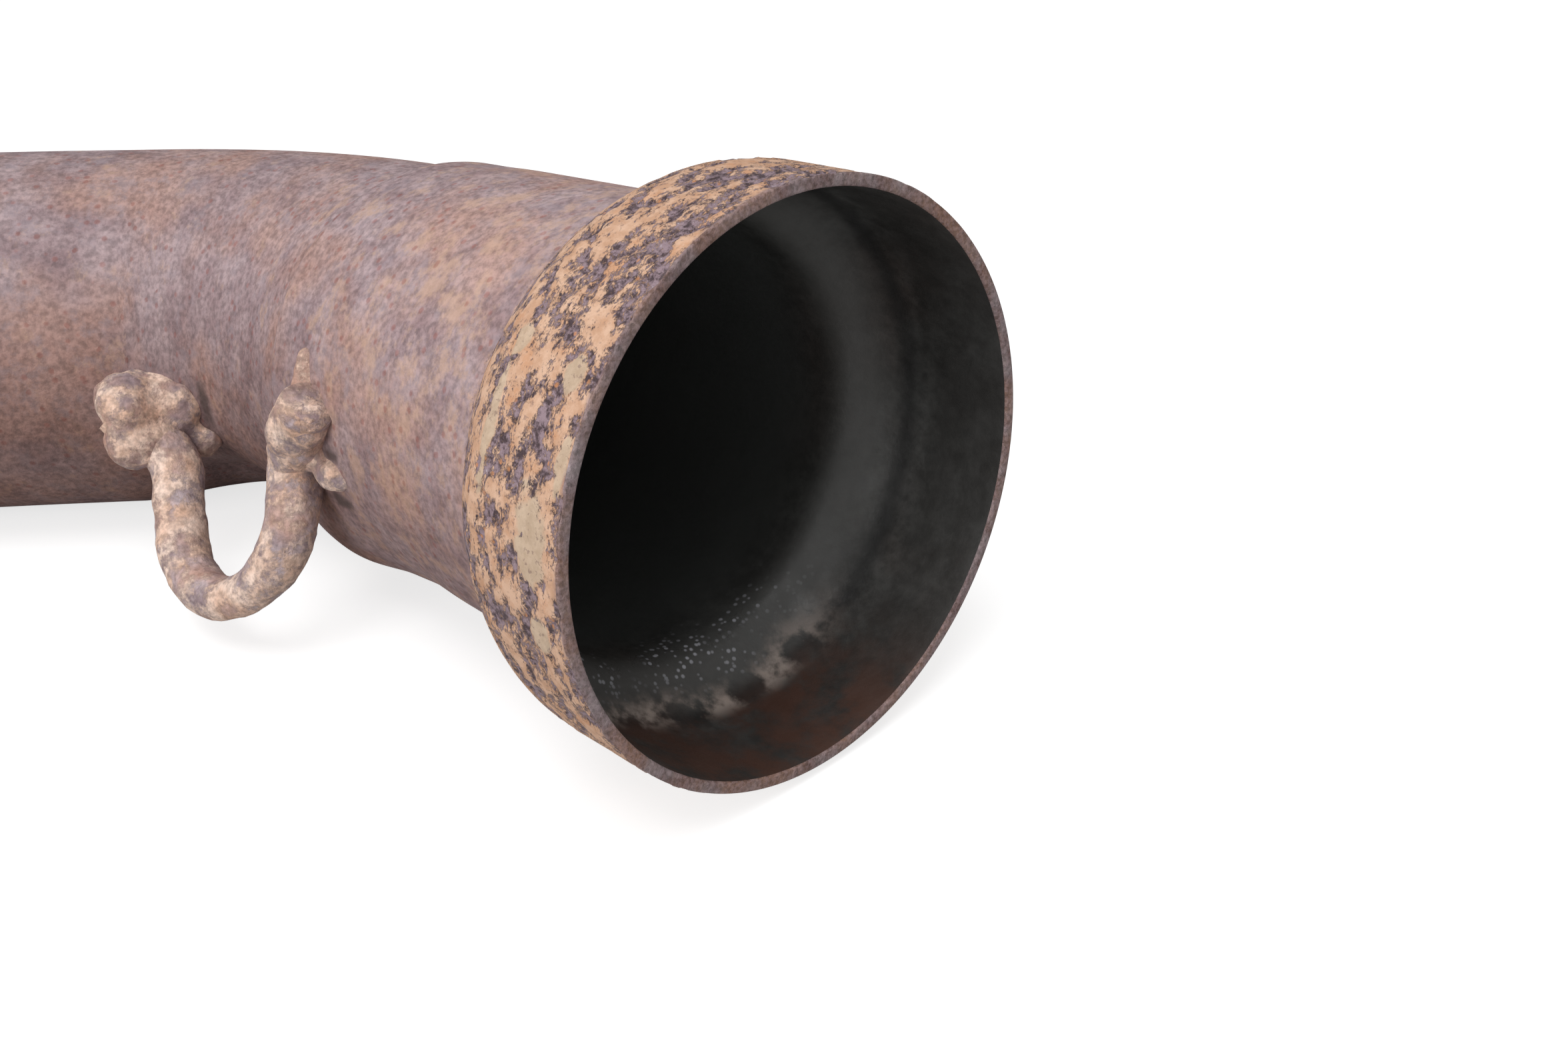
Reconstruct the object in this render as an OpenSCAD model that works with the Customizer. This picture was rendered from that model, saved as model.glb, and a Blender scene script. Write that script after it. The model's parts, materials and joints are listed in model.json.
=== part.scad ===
// End of a rusty exhaust head pipe: a bent round tube whose end is swaged up
// into a socket and belled out to a mouth, with a rod hook for a spring welded
// into the inside of its bend.
// It lies on a level floor, on its straight run and on the lip of its bell.
// Origin: centre of the plain cut end. +X runs along the straight run towards
// the bend, +Z is up.

/* [Tube] */
// Outside diameter of the tube
tube_d = 38.1; // [30:0.1:46]
// Wall thickness of the tube, the socket and the bell
wall = 1.1; // [0.8:0.1:1.5]
// Length of the straight run, from the cut end to the bend
run_len = 305; // [150:1:600]
// Radius of the bend on the tube's centre line
bend_r = 38; // [32:1:60]
// Angle that the tube turns through in the bend
bend_angle = 53; // [40:1:65]

/* [Socket] */
// Clearance of the same tube in the socket's back edge, across the diameter
socket_clearance = 0.1; // [0:0.1:1]
// How much wider the socket is at the neck of the bell than at its back edge
socket_taper = 2; // [0:0.1:4]
// Length from the end of the bend to the mouth
socket_len = 54; // [45:1:90]
// Length of the swage, where the tube swells up to the socket
swage_len = 3; // [2:0.5:8]

/* [Bell] */
// How far the lip stands out around the neck
lip_step = 4.1; // [3:0.1:8]
// Length of the round lip behind the mouth
lip_len = 8.7; // [4:0.1:12]
// Steepest slope of the flare, measured from the axis
flare_angle = 48; // [40:1:60]
// Outside radius of the hollow curve where the flare meets the neck
neck_fillet = 2; // [1:0.5:3]

/* [Spring hook] */
// Diameter of the hook's rod
rod_d = 5.2; // [4:0.1:6.4]
// Radius of the hook's round end, on the rod's centre line
hook_r = 8.5; // [6:0.1:11]
// Angle that each leg spreads from the hook's own centre line
leg_spread = 1; // [0:1:12]
// Gap between the tube's side and the middle of the hook's round end
tube_gap = 11; // [10:0.1:14]
// Gap between the socket's side and the middle of the hook's round end
socket_gap = 4; // [3.5:0.1:7]
// Depth of the middle of the hook's round end below the tube's centre line
hook_drop = 9.9; // [7:0.1:12]
// Angle that the hook turns past the middle of the bend
hook_skew = 19; // [10:0.5:25]
// Angle that the hook leans out from the pipe
hook_lean = 26.5; // [20:0.5:35]
// Angle that the hook tips over in its own plane
hook_tip = 31; // [20:1:40]
// Length of the leg that meets the tube, up to its corner
tube_leg = 8.1; // [6:0.1:10]
// Length of the leg that meets the socket, up to its corner
socket_leg = 2.2; // [1.5:0.1:5]
// Length of the foot that lies back along the tube
tube_foot = 7; // [6:0.1:12]
// Length of the foot that lies along the socket
socket_foot = 9.5; // [5:0.1:12]
// Angle between the tube's leg and its foot
tube_foot_bend = 48.5; // [40:0.5:75]
// Angle between the socket's leg and its foot
socket_foot_bend = 80; // [60:1:90]
// Angle that the tube's foot turns in towards the tube, past half the bend
tube_foot_skew = 47.5; // [35:0.5:55]
// Angle that the socket's foot turns in towards the socket, past half the bend
socket_foot_skew = 4.5; // [0:0.5:15]

/* [Welds] */
// Diameter of the weld beads
weld_d = 7.4; // [6.5:0.1:9]
// Length of each weld bead between the centres of its round ends
weld_len = 5; // [3:0.5:8]

/* [Hidden] */
$fn = 96;
// How far a bore runs out past an open end
over = 1;
steps = 10;

tube_r = tube_d / 2;
back_r = tube_r + socket_clearance / 2 + wall;
neck_r = back_r + socket_taper / 2;
lip_r = neck_r + lip_step;
rod_r = rod_d / 2;
weld_r = weld_d / 2;
hook_turn = bend_angle / 2 + hook_skew;
tube_foot_turn = bend_angle / 2 + tube_foot_skew;
socket_foot_turn = bend_angle / 2 + socket_foot_skew;
// The rod swells by a hair where it is bent, and so does a bead at its round ends
bulge = 0.05;

// The hook's round end keeps its gap from the tube's side and from the socket's side
hook_side = tube_r + tube_gap;
hook_x = (bend_r - back_r - socket_gap - (bend_r - hook_side) * cos(bend_angle)) / sin(bend_angle);

// The swage starts just under the tube's surface, a little back inside the bend
swage_r = tube_r - (back_r - tube_r) / 8;
swage_lead = swage_len / 2;

// The flare is a round shoulder behind the lip and a hollow curve at the neck
shoulder_r = (lip_r - neck_r) / (1 - cos(flare_angle)) - neck_fillet;
flare_len = (shoulder_r + neck_fillet) * sin(flare_angle);

// The pipe leans over until the shoulder behind its lip rests on the same floor as
// its straight run. shoulder_reach is how far that shoulder stands out sideways.
shoulder_reach = bend_r * (1 - cos(bend_angle)) + (socket_len - lip_len) * sin(bend_angle);
shoulder_ring = lip_r - shoulder_r;
ring_rise = tube_r - shoulder_r;
lean_a = pow(shoulder_reach, 2) + pow(shoulder_ring * sin(bend_angle), 2);
lean_b = shoulder_reach * ring_rise;
lean_c = pow(ring_rise, 2) - pow(shoulder_ring, 2);
lean = asin((sqrt(lean_b * lean_b - lean_a * lean_c) - lean_b) / lean_a);

function arc(r, a0, a1) = [for (i = [0:steps]) let (a = a0 + (a1 - a0) * i / steps) r * [cos(a), sin(a)]];
function shift(points, by) = [for (p = points) p + by];
// Smooth step from one radius to another along the axis
function swell(r0, r1, z0, z1) =
    [for (i = [0:steps]) let (t = i / steps) [r0 + (r1 - r0) * (1 - cos(180 * t)) / 2, z0 + (z1 - z0) * t]];

// Edge of the socket from the end of the bend to the mouth, as radius and height.
// inset is the wall on the inside of the sheet, and 0 on the outside.
function socket_edge(inset, mouth_over) = concat(
    swell(swage_r - inset, back_r - inset, -socket_len - swage_lead, swage_len - socket_len),
    shift(arc(-neck_fillet - inset, 0, -flare_angle),
        [neck_r + neck_fillet, -lip_len - flare_len]),
    shift(arc(shoulder_r - inset, -flare_angle, 0), [lip_r - shoulder_r, -lip_len]),
    [[lip_r - inset, mouth_over]]);

// Turns its children from the plane of the bend to the way the pipe lies
module lie() {
    rotate([-lean, 0, 0])
        children();
}

// Puts its children at the mouth, with +Z out along the mouth's axis
module at_mouth() {
    translate([run_len, -bend_r, 0])
        rotate([0, 0, -bend_angle])
            translate([socket_len, bend_r, 0])
                rotate([0, 90, 0])
                    children();
}

// One surface of the pipe as a solid: the outside with inset 0, the bore with the wall
module pipe_body(inset, run_over, mouth_over) {
    r = tube_r - inset;
    translate([-run_over, 0, 0])
        rotate([0, 90, 0])
            cylinder(r = r, h = run_len + run_over);
    translate([run_len, -bend_r, 0])
        rotate_extrude(angle = bend_angle, start = 90 - bend_angle)
            translate([bend_r, 0])
                circle(r = r);
    at_mouth()
        rotate_extrude()
            polygon(concat([[0, -socket_len - swage_lead]], socket_edge(inset, mouth_over), [[0, mouth_over]]));
}

// Puts its children at the middle of the hook's round end, legs up along +Z
module at_hook() {
    translate([run_len + hook_x, -hook_side, -hook_drop])
        rotate([-hook_lean, 0, -hook_turn])
            rotate([0, -hook_tip, 0])
                children();
}

// Puts its children at the start of a leg, side -1 on the tube and 1 on the socket
module at_leg(side) {
    rotate([0, side * leg_spread, 0])
        translate([side * hook_r, 0, 0])
            children();
}

// Puts its children at the corner of a leg and its foot, with +Z out along the foot
module at_corner(side, leg, bend, turn) {
    at_leg(side)
        translate([0, 0, leg])
            rotate([0, 0, -side * turn])
                rotate([0, side * bend, 0])
                    children();
}

// A leg of the hook with its foot, knuckled at both ends of the leg
module leg_and_foot(side, leg, foot, bend, turn) {
    at_leg(side) {
        sphere(r = rod_r + bulge);
        cylinder(r = rod_r, h = leg);
    }
    at_corner(side, leg, bend, turn) {
        sphere(r = rod_r + bulge);
        cylinder(r = rod_r, h = foot);
    }
}

// The whole bent rod
module rod() {
    rotate([90, 0, 0])
        rotate([0, 0, 180 + leg_spread])
            rotate_extrude(angle = 180 - 2 * leg_spread)
                translate([hook_r, 0])
                    circle(r = rod_r);
    leg_and_foot(-1, tube_leg, tube_foot, tube_foot_bend, tube_foot_turn);
    leg_and_foot(1, socket_leg, socket_foot, socket_foot_bend, socket_foot_turn);
}

// A bead of weld metal with round ends, along +Z
module bead(start) {
    translate([0, 0, start]) {
        cylinder(r = weld_r, h = weld_len);
        sphere(r = weld_r + bulge);
        translate([0, 0, weld_len])
            sphere(r = weld_r + bulge);
    }
}

module pipe() {
    color([0.43, 0.34, 0.33])
        lie()
            difference() {
                pipe_body(0, 0, 0);
                pipe_body(wall, over, over);
            }
}

module spring_hook() {
    color([0.55, 0.42, 0.34])
        lie()
            difference() {
                at_hook()
                    rod();
                pipe_body(0, 0, 0);
            }
}

module tube_weld() {
    color([0.62, 0.47, 0.36])
        lie()
            difference() {
                at_hook()
                    at_corner(-1, tube_leg, tube_foot_bend, tube_foot_turn)
                        bead(tube_foot - weld_len);
                at_hook()
                    rod();
                pipe_body(0, 0, 0);
            }
}

module socket_weld() {
    color([0.58, 0.45, 0.36])
        lie()
            difference() {
                at_hook()
                    at_corner(1, socket_leg, socket_foot_bend, socket_foot_turn)
                        bead(socket_foot - weld_len);
                at_hook()
                    rod();
                pipe_body(0, 0, 0);
            }
}

pipe();
spring_hook();
tube_weld();
socket_weld();
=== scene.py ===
import json
import math
import random
import bpy
from mathutils import Matrix, Vector, noise


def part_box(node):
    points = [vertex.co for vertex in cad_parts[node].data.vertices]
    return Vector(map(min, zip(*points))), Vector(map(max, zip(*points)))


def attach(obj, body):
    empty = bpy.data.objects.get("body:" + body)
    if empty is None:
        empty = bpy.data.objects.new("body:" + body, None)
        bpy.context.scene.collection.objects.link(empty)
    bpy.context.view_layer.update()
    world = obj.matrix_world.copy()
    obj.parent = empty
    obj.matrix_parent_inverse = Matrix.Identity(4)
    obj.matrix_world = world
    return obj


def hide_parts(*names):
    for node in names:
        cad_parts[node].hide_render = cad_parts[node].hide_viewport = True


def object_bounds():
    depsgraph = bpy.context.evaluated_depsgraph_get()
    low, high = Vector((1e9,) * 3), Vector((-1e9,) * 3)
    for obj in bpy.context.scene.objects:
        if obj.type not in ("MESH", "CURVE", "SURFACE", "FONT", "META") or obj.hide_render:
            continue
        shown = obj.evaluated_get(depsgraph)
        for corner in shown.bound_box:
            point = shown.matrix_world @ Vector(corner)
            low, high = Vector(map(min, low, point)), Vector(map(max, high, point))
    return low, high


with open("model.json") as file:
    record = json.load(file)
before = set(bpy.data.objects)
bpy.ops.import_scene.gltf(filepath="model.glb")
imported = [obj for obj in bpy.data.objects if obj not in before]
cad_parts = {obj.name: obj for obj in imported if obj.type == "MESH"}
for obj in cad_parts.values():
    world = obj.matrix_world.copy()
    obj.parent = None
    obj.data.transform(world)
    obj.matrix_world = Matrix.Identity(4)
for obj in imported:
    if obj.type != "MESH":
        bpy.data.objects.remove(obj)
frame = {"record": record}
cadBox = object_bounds()
print("frame loaded")


# sizes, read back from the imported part
mounts = {m["name"]: m for m in frame["record"]["mounts"]}


def mountSize(name, key):
    return mounts[name]["dims"][key] / 1000


tubeRadius = -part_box("pipe")[0].z
boreRadius = mountSize("tube_bore", "r_mm")
runLength = mountSize("tube_bore", "length_mm")
mouthRadius = mountSize("mouth", "r_mm")
lipLength = mountSize("mouth", "length_mm")
wall = tubeRadius - boreRadius
mouthAxis = Vector(mounts["mouth"]["axis"])
bendAngle = math.acos(mouthAxis.x)
lean = math.atan2(mouthAxis.z, -mouthAxis.y)    # the pipe leans over on to its bell
layDown = Matrix.Rotation(-lean, 4, "X")
flatMouth = layDown.inverted() @ Vector(mounts["mouth"]["pos_m"])
flatAxis = Vector((math.cos(bendAngle), -math.sin(bendAngle), 0))
flatSide = Vector((math.sin(bendAngle), math.cos(bendAngle), 0))
reach = flatMouth - Vector((runLength, 0, 0))
bendRadius = (reach.x * flatSide.x + reach.y * flatSide.y) / (1 - math.cos(bendAngle))
bendCentre = Vector((runLength, -bendRadius, 0))
bendEnd = bendCentre + flatSide * bendRadius
socketLength = (flatMouth - bendEnd).length
bendLength = bendRadius * bendAngle
mouthAt = runLength + bendLength + socketLength    # distance of the mouth along the pipe
floorHeight = cadBox[0].z

socketShape = dict(clearance=0.0001, taper=0.002, swageLength=0.003, flareAngle=48, neckFillet=0.002)
backRadius = tubeRadius + wall + socketShape["clearance"] / 2
neckRadius = backRadius + socketShape["taper"] / 2
lipRadius = mouthRadius + wall
flareAngle = math.radians(socketShape["flareAngle"])
shoulderRadius = (lipRadius - neckRadius) / (1 - math.cos(flareAngle)) - socketShape["neckFillet"]
flareLength = (shoulderRadius + socketShape["neckFillet"]) * math.sin(flareAngle)
neckAt = mouthAt - lipLength - flareLength
print("pipe is", round(mouthAt * 1000, 1), "mm long along its middle")


# tools for shaping
def smoothStep(value, low, high):
    # 0 at the low end, 1 at the high end, with soft ends
    t = min(max((value - low) / (high - low), 0), 1)
    return t * t * (3 - 2 * t)


def startPiece(name):
    # names the ring that was just added, and opens it for editing
    piece = bpy.context.object
    piece.name = name
    piece.data.name = name
    bpy.ops.object.transform_apply(location=True, rotation=True, scale=True)
    bpy.ops.object.mode_set(mode="EDIT")
    bpy.ops.mesh.select_all(action="SELECT")
    return piece


def pickOnly(piece):
    bpy.ops.object.select_all(action="DESELECT")
    piece.select_set(True)
    bpy.context.view_layer.objects.active = piece


def addRing(sides, radius, place, direction):
    bpy.ops.object.select_all(action="DESELECT")
    turn = Vector(direction).to_track_quat("Z", "Y").to_euler()
    bpy.ops.mesh.primitive_circle_add(vertices=sides, radius=radius, fill_type="NOTHING",
                                      location=place, rotation=turn)


def growRing(centre, move, scale=1.0):
    # extrudes the picked ring by a move and gives back its new centre
    bpy.ops.mesh.extrude_region_move(TRANSFORM_OT_translate={"value": move})
    if scale != 1.0:
        bpy.ops.transform.resize(value=(scale, scale, scale), center_override=centre + move)
    return centre + move


def sweepRing(centre, axis, angle, steps):
    # spin turns clockwise about its axis, so the angle goes in with its sign changed
    bpy.ops.mesh.spin(steps=steps, angle=-angle, center=centre, axis=axis)


def applyModifier(piece, kind, **settings):
    pickOnly(piece)
    modifier = piece.modifiers.new(kind.title(), kind)
    for key, value in settings.items():
        setattr(modifier, key, value)
    bpy.ops.object.modifier_apply(modifier=modifier.name)


def setAttribute(piece, name, values):
    piece.data.attributes.new(name, "FLOAT", "POINT").data.foreach_set("value", values)


def pressIn(piece, name, depths):
    # moves the surface in by the depth given for each vertex
    deepest = max(depths)
    group = piece.vertex_groups.new(name=name)
    for index, depth in enumerate(depths):
        if depth > 0:
            group.add([index], depth / deepest, "REPLACE")
    applyModifier(piece, "DISPLACE", vertex_group=name, strength=-deepest, mid_level=0, direction="NORMAL")
    piece.vertex_groups.remove(piece.vertex_groups[name])


def alongPipe(point):
    # a place in the flat pipe as (distance along it, sideways, up) in the tube unbent
    if point.x <= runLength:
        return point.copy()
    arm = point - bendCentre
    angle = math.atan2(arm.x, arm.y)
    if 0 <= angle <= bendAngle:
        return Vector((runLength + bendRadius * angle, math.hypot(arm.x, arm.y) - bendRadius, point.z))
    past = point - bendEnd
    return Vector((runLength + bendLength + past.dot(flatAxis), past.dot(flatSide), point.z))


# the pipe: one tube, swaged and belled
pipeMesh = dict(sides=256, runStep=0.0050, fineFrom=0.2850, fineStep=0.0010, bendStep=0.0009,
                bellStep=0.0004, insideRunStep=0.0100, insideBendStep=0.0030, insideBellStep=0.0012,
                rimRound=0.00022, cutRound=0.00025)


def socketProfile(inset):
    # (distance along the pipe, radius) of the sheet's face from the swage to the lip
    swage = socketShape["swageLength"]
    fillet = socketShape["neckFillet"] + inset
    shoulder = shoulderRadius - inset
    start = runLength + bendLength
    points = []
    for i in range(9):
        rise = (1 - math.cos(math.pi * i / 8)) / 2
        points.append((start + swage * i / 8, tubeRadius + (backRadius - tubeRadius) * rise - inset))
    for i in range(9):
        a = flareAngle * i / 8
        points.append((neckAt + fillet * math.sin(a),
                       neckRadius + socketShape["neckFillet"] - fillet * math.cos(a)))
    for i in range(1, 13):
        a = flareAngle * (1 - i / 12)
        points.append((mouthAt - lipLength - shoulder * math.sin(a),
                       lipRadius - shoulderRadius + shoulder * math.cos(a)))
    points.append((mouthAt, lipRadius - inset))
    return points


def evenRings(points, step):
    # the same edge with its rings an even step apart
    lengths = [0.0]
    for a, b in zip(points, points[1:]):
        lengths.append(lengths[-1] + math.dist(a, b))
    count = max(1, round(lengths[-1] / step))
    rings, k = [], 0
    for i in range(1, count + 1):
        want = lengths[-1] * i / count
        while k < len(points) - 2 and lengths[k + 1] < want:
            k += 1
        t = (want - lengths[k]) / (lengths[k + 1] - lengths[k])
        rings.append(tuple(p + (q - p) * t for p, q in zip(points[k], points[k + 1])))
    return rings


def rimProfile():
    # the mouth's edge, round at both corners
    r = pipeMesh["rimRound"]
    corner = [(math.sin(math.radians(a)) - 1, 1 - math.cos(math.radians(a))) for a in (0, 30, 60, 90)]
    outer = [(mouthAt + x * r, lipRadius - y * r) for x, y in corner]
    inner = [(mouthAt + x * r, mouthRadius + y * r) for x, y in reversed(corner)]
    return outer + [(mouthAt, (lipRadius + mouthRadius) / 2)] + inner


def cutProfile():
    # the plain cut end, from the bore out to the tube's face
    r = pipeMesh["cutRound"]
    corner = [(1 - math.sin(math.radians(a)), 1 - math.cos(math.radians(a))) for a in (30, 60, 90)]
    inner = [(x * r, boreRadius + y * r) for x, y in corner]
    return inner + [(x * r, tubeRadius - y * r) for x, y in reversed(corner)]


# how the sheet is out of true at the bend: distance past the bend's start, angle, move outwards, reach
sheetPushes = [(0.0095, -115, -0.0024, 0.0105), (0.0115, -134, -0.0018, 0.0100),
               (0.0390, -137, 0.0010, 0.0090), (0.0430, -137, 0.0009, 0.0110)]


def pipePlace(past, turn, radius):
    # a place in the flat pipe from a distance past the start of the bend, an angle and a radius
    sideways = math.cos(math.radians(turn)) * radius
    up = Vector((0, 0, math.sin(math.radians(turn)) * radius))
    if past < bendLength:
        arm = past / bendRadius
        return bendCentre + Vector((math.sin(arm), math.cos(arm), 0)) * (bendRadius + sideways) + up
    return bendEnd + flatAxis * (past - bendLength) + flatSide * sideways + up


def pushSheet(pipe, past, turn, move, reach):
    # both faces of the sheet move together
    skin = tubeRadius if past < bendLength else backRadius
    middle = pipePlace(past, turn, skin)
    outwards = (middle - pipePlace(past, turn, 0)).normalized()
    bpy.ops.mesh.select_all(action="DESELECT")
    bpy.ops.object.mode_set(mode="OBJECT")
    for vertex in pipe.data.vertices:
        vertex.select = (vertex.co - middle).length < 0.0015
    bpy.ops.object.mode_set(mode="EDIT")
    bpy.ops.transform.translate(value=outwards * move, use_proportional_edit=True,
                                proportional_edit_falloff="SMOOTH", proportional_size=reach)


def makePipe():
    cutRound = pipeMesh["cutRound"]
    addRing(pipeMesh["sides"], tubeRadius, (cutRound, 0, 0), (1, 0, 0))
    pipe = startPiece("rusty_pipe")
    centre = Vector((cutRound, 0, 0))
    for start, end, ringStep in ((cutRound, pipeMesh["fineFrom"], pipeMesh["runStep"]),
                                 (pipeMesh["fineFrom"], runLength, pipeMesh["fineStep"])):
        count = round((end - start) / ringStep)
        for i in range(count):
            centre = growRing(centre, Vector(((end - start) / count, 0, 0)))
    sweepRing(bendCentre, (0, 0, 1), -bendAngle, round(bendLength / pipeMesh["bendStep"]))
    outside = socketProfile(0)
    outside[-1] = (mouthAt - pipeMesh["rimRound"], lipRadius)
    inside = socketProfile(wall)[::-1]
    inside[0] = (mouthAt - pipeMesh["rimRound"], mouthRadius)
    rings = evenRings(outside, pipeMesh["bellStep"]) + rimProfile()[1:]
    rings += evenRings(inside, pipeMesh["insideBellStep"])
    centre = bendEnd.copy()
    at, radius = runLength + bendLength, tubeRadius
    for nextAt, nextRadius in rings:
        centre = growRing(centre, flatAxis * (nextAt - at), nextRadius / radius)
        at, radius = nextAt, nextRadius
    sweepRing(bendCentre, (0, 0, 1), bendAngle, round(bendLength / pipeMesh["insideBendStep"]))
    centre = Vector((runLength, 0, 0))
    count = round(runLength / pipeMesh["insideRunStep"])
    for i in range(count):
        centre = growRing(centre, Vector(((cutRound - runLength) / count, 0, 0)))
    # round the cut end's two corners and come back out to the first ring
    at, radius = cutRound, boreRadius
    for nextAt, nextRadius in cutProfile():
        centre = growRing(centre, Vector((nextAt - at, 0, 0)), nextRadius / radius)
        at, radius = nextAt, nextRadius
    bpy.ops.mesh.select_all(action="SELECT")
    bpy.ops.mesh.remove_doubles(threshold=0.000005)
    bpy.ops.mesh.select_all(action="DESELECT")
    bpy.ops.mesh.select_non_manifold()
    bpy.ops.mesh.bridge_edge_loops()
    bpy.ops.mesh.select_all(action="SELECT")
    bpy.ops.mesh.normals_make_consistent(inside=False)
    for push in sheetPushes:
        pushSheet(pipe, *push)
    bpy.ops.object.mode_set(mode="OBJECT")
    bpy.ops.object.shade_smooth()
    return pipe


pipe = makePipe()
print("pipe modelled,", len(pipe.data.vertices), "vertices")


# the pipe's rust relief
rustRelief = dict(
    patchSize=0.0027,       # width of the crust's patches on the bell
    patchShift=(3.1, 7.4, 2.2),
    patchMiddle=0.548,      # how much of the bell is crust, and how far that swings
    patchSwing=0.37,
    alongStretch=1.7,       # patches are this much shorter along the pipe than around it
    scaleDepth=0.00016,     # dark scale lies this far under the tan crust
    pitDepth=0.00022,       # pits in the scale
    lumpDepth=0.00032,      # slow unevenness of the swaged sheet
    runDepth=0.00014)       # slow unevenness of the tube

# smooth khaki spots on the bell: distance along the pipe, angle, and half sizes
khakiSpots = [(mouthAt - back, *rest) for back, *rest in (
    (0.0026, 146, 0.0011, 0.0017), (0.0009, 160, 0.0007, 0.0022), (0.0032, 173, 0.0019, 0.0042),
    (0.0094, 143, 0.0010, 0.0014), (0.0098, 158, 0.0007, 0.0060), (0.0030, -170, 0.0012, 0.0020))]

# painted shadow beside the hook's feet, where gaps and hollows by the welds lie in shade: distance along,
# angle, and half sizes
shadowSpots = [(runLength + 0.0148, -172, 0.0012, 0.0030), (runLength + 0.0135, -160, 0.0016, 0.0012),
             (runLength + 0.0480, -174, 0.0019, 0.0007), (runLength + 0.0476, -160, 0.0022, 0.0008)]


def crustAt(place):
    q = Vector((place.x * rustRelief["alongStretch"], place.y, place.z)) / rustRelief["patchSize"]
    field = noise.fractal(q + Vector(rustRelief["patchShift"]), 0.7, 2.1, 6)
    return rustRelief["patchMiddle"] + rustRelief["patchSwing"] * field


def spotsAt(spots, place, angle, radius):
    most = 0.0
    wobble = 0.30 * noise.noise(place / 0.0012) + 0.25 * noise.noise(place / 0.0034)
    for at, turn, halfLong, halfRound in spots:
        around = math.radians((angle - turn + 180) % 360 - 180) * radius
        away = math.hypot((at - place.x) / halfLong, around / halfRound)
        most = max(most, 1 - smoothStep(away + wobble, 0.5, 1.2))
    return most


def markPipe():
    coords, crusts, khakis, paintedShadows, depths = [], [], [], [], []
    for vertex in pipe.data.vertices:
        place = alongPipe(vertex.co)
        radius = math.hypot(place.y, place.z)
        angle = math.degrees(math.atan2(place.z, place.y))
        onBell = smoothStep(place.x, neckAt + 0.002, neckAt + 0.008)
        onSocket = smoothStep(place.x, runLength + bendLength * 0.9, runLength + bendLength + 0.004)
        crust = min(max(crustAt(place), 0), 1)
        khaki = spotsAt(khakiSpots, place, angle, lipRadius)
        # how much painted shadow beside the hook's feet each vertex gets
        stain = spotsAt(shadowSpots, place, angle, tubeRadius)
        crust = max(crust, khaki)
        coords.extend(place)
        crusts.append(crust)
        khakis.append(khaki)
        paintedShadows.append(stain)
        tip = alongPipe(vertex.co + vertex.normal * 0.001)
        outside = math.hypot(tip.y, tip.z) > radius + 0.0005 and 0.0003 < place.x < mouthAt - 0.0001
        if not outside:
            depths.append(0.0)
            continue
        lump = 0.5 + 0.5 * noise.noise(Vector((place.x * 1.3, place.y, place.z)) / 0.0085)
        slow = 0.5 + 0.5 * noise.noise(place / 0.020)
        grit = 0.5 + 0.5 * noise.noise(place / 0.0011)
        scale = 1 - smoothStep(crust, 0.42, 0.56)
        depth = rustRelief["runDepth"] * slow * (1 - onSocket)
        depth += rustRelief["lumpDepth"] * lump * onSocket * (1 - 0.75 * onBell)
        depth += onBell * scale * (rustRelief["scaleDepth"] + rustRelief["pitDepth"] * grit * grit)
        depths.append(depth)
    data = pipe.data.attributes.new("pipeCoords", "FLOAT_VECTOR", "POINT").data
    data.foreach_set("vector", coords)
    setAttribute(pipe, "crust", crusts)
    setAttribute(pipe, "khaki", khakis)
    setAttribute(pipe, "stain", paintedShadows)
    pressIn(pipe, "relief", depths)


def pickFaces():
    # 0 is the outside, 1 the bare edges at both ends, 2 the bore
    for face in pipe.data.polygons:
        place = alongPipe(face.center)
        tip = alongPipe(face.center + face.normal * 0.001)
        outwards = math.hypot(tip.y, tip.z) > math.hypot(place.y, place.z)
        atEdge = place.x > mouthAt - pipeMesh["rimRound"] * 0.8 or place.x < pipeMesh["cutRound"] * 0.8
        face.material_index = 1 if atEdge else 0 if outwards else 2


for i in range(3):
    pipe.data.materials.append(None)
pickFaces()
markPipe()
print("pipe relief pressed in")


# the spring hook: one bent rod
hookShape = dict(rodRadius=0.00245, roundEnd=0.0085, spread=1, sides=32, step=0.0005,
                 lean=26.5, turn=45.5, tip=31, roundSteps=44, cornerSteps=14,
                 wear=0.00045, wearHalfWidth=0.0010, wearReach=0.0065,
                 bumps=((0.0035, 0.00050), (0.0012, 0.00022)),
                 legs={-1: dict(leg=0.0081, foot=0.0070, bend=48.5, turn=74, corner=0.0042),
                       1: dict(leg=0.0022, foot=0.0095, bend=80, turn=31, corner=0.0026)})
hookCentre = Vector(mounts["spring_eye"]["pos_m"])
hookPlace = (Matrix.Translation(hookCentre) @ layDown
             @ Matrix.Rotation(math.radians(-hookShape["turn"]), 4, "Z")
             @ Matrix.Rotation(math.radians(-hookShape["lean"]), 4, "X")
             @ Matrix.Rotation(math.radians(-hookShape["tip"]), 4, "Y"))


def legPath(side):
    # corner, direction up the leg, and direction out along the foot, in the hook's own frame
    values = hookShape["legs"][side]
    splay = Matrix.Rotation(math.radians(side * hookShape["spread"]), 3, "Y")
    legStart = splay @ Vector((side * hookShape["roundEnd"], 0, 0))
    up = splay @ Vector((0, 0, 1))
    out = (splay @ Matrix.Rotation(math.radians(-side * values["turn"]), 3, "Z")
           @ Matrix.Rotation(math.radians(side * values["bend"]), 3, "Y") @ Vector((0, 0, 1)))
    return legStart, legStart + up * values["leg"], up, out


def growStraight(centre, direction, length):
    count = max(1, round(length / hookShape["step"]))
    for i in range(count):
        centre = growRing(centre, direction * (length / count))
    return centre


def sweepCorner(centre, before, after, radius, angle):
    # turns the ring from one direction to another on a round corner
    axis = before.cross(after).normalized()
    sweepRing(centre + axis.cross(before) * radius, axis, math.radians(angle),
              hookShape["cornerSteps"])


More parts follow.
